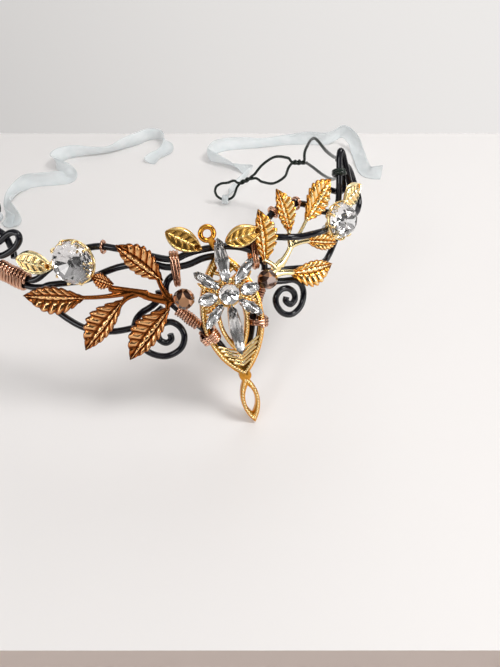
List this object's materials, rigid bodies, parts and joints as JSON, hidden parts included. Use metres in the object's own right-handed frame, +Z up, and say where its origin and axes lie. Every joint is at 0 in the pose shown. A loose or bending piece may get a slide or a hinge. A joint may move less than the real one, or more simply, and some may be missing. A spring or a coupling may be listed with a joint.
{
  "type": "wire tiara with ribbons",
  "caption": "Woodland tiara of bent black wire with leaf sprays, clear cut stones, an openwork star drop on the brow, twisted wire side arms and tied ribbons.",
  "frame": {"origin": "the middle of the footprint, on the table that the tiara stands on", "axes": "+X to the viewer's right of the front, +Y from the front to the ribbons at the back, +Z up"},
  "size_m": [0.2176, 0.2268, 0.0666],
  "materials": {
    "black_wire": "gloss",
    "green_wire": "gloss",
    "copper_wire": "gloss",
    "gold": "gloss",
    "bronze_leaf": "gloss",
    "brown_glass": "gloss",
    "crystal": "gloss",
    "ribbon": "satin"
  },
  "bodies": {
    "root": {"wire_upper": "black_wire", "wire_middle_left": "black_wire", "wire_lower_left": "black_wire", "wire_upper_right": "black_wire", "wire_middle_right": "black_wire", "wire_lower_right": "black_wire", "wire_v": "black_wire", "wire_loop_right": "black_wire", "curl_left": "black_wire", "curl_right": "black_wire", "arm_left": "green_wire", "arm_right": "green_wire", "arm_wrap_left": "green_wire", "arm_wrap_right": "green_wire", "coil_side_left": "copper_wire", "coil_side_right": "copper_wire", "coil_lower_left": "copper_wire", "coil_lower_right": "copper_wire", "wrap_lower_left": "copper_wire", "wrap_lower_right": "copper_wire", "binding_left": "copper_wire", "binding_right": "copper_wire", "wrap_upper_left": "copper_wire", "wrap_tip_inner": "copper_wire", "wrap_tip_outer": "copper_wire", "branch_left": "bronze_leaf", "branch_right": "gold", "leaf_bead_top_left": "gold", "leaf_bead_top_right": "gold", "leaf_bead_side_left": "gold", "leaf_bead_side_right": "gold", "brown_bead_left": "brown_glass", "brown_bead_right": "brown_glass", "stone_left": "crystal", "stone_right": "crystal", "setting_left": "gold", "setting_right": "gold", "centre_plaque": "gold", "star_stone": "crystal", "petal_top": "crystal", "petal_bottom": "crystal", "petal_left": "crystal", "petal_right": "crystal", "petal_upper_left": "crystal", "petal_upper_right": "crystal", "petal_lower_left": "crystal", "petal_lower_right": "crystal", "ribbon_left": "ribbon", "ribbon_right": "ribbon", "ribbon_knot_left": "ribbon", "ribbon_knot_right": "ribbon"}
  },
  "joints": []
}
